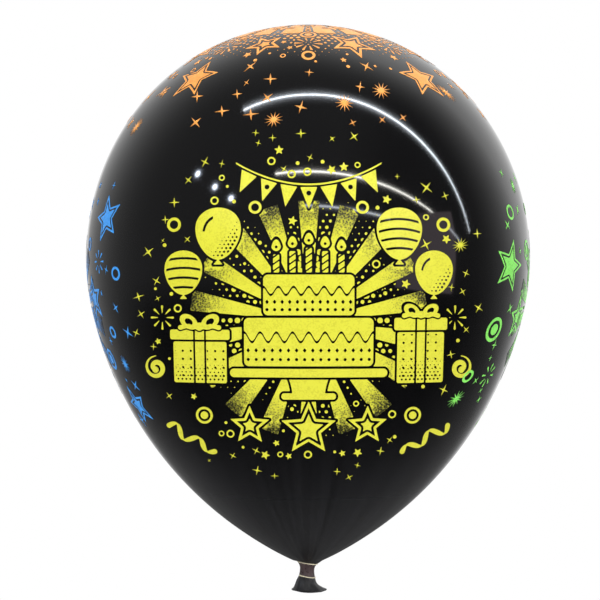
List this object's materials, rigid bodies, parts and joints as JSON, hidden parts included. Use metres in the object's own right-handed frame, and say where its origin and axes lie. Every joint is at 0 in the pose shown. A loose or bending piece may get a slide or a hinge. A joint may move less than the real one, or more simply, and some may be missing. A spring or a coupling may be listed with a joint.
{
  "type": "printed latex balloon",
  "caption": "Inflated and tied round latex balloon in glossy black with party prints in bright inks, a knot at the neck and a flared tail with a rolled mouth.",
  "frame": {"origin": "on the balloon's axis at the waist of the tied neck, where a ribbon or a stick's clip holds it", "axes": "+Z from the knot to the crown along the axis, -Y out of the main picture, +X to the right of that picture as it is looked at"},
  "size_m": [0.3004, 0.3004, 0.3835],
  "materials": {
    "latex_film": "glossy stretched latex film, black",
    "knot_latex": "tightly stretched latex, thinned to a brownish black",
    "slack_latex": "unstretched latex, satin black",
    "yellow_ink": "screen-printed rubber ink, yellow",
    "pink_ink": "screen-printed rubber ink, pink",
    "blue_ink": "screen-printed rubber ink, blue",
    "green_ink": "screen-printed rubber ink, green",
    "orange_ink": "screen-printed rubber ink, orange"
  },
  "bodies": {
    "knot": {"knot_band": "knot_latex", "knot_strand": "knot_latex", "knot_bight": "knot_latex"},
    "neck": {"neck_film": "latex_film"},
    "balloon": {"envelope": "latex_film", "front_print": "yellow_ink", "back_print": "pink_ink", "left_print": "blue_ink", "right_print": "green_ink", "crown_print": "orange_ink"},
    "tail_neck": {"tail_film": "slack_latex"},
    "tail": {"tail_skirt": "slack_latex", "mouth_bead": "slack_latex"}
  },
  "joints": [
    {"name": "neck_nod", "type": "hinge", "parent": "knot", "child": "neck", "pos_m": [0, 0, 0.005], "axis": [1, 0, 0], "range_deg": [-30, 30], "stiffness_Nm_per_rad": 0.05, "deforming": ["neck_film"]},
    {"name": "neck_lean", "type": "hinge", "parent": "neck", "child": "balloon", "pos_m": [0, 0, 0.005], "axis": [0, 1, 0], "range_deg": [-30, 30], "stiffness_Nm_per_rad": 0.05},
    {"name": "tail_bend", "type": "hinge", "parent": "knot", "child": "tail_neck", "pos_m": [0, 0, -0.0069], "axis": [1, 0, 0], "range_deg": [-40, 40], "stiffness_Nm_per_rad": 0.0001, "deforming": ["tail_film"]},
    {"name": "tail_sway", "type": "hinge", "parent": "tail_neck", "child": "tail", "pos_m": [0, 0, -0.0069], "axis": [0, 1, 0], "range_deg": [-40, 40], "stiffness_Nm_per_rad": 0.0001}
  ]
}
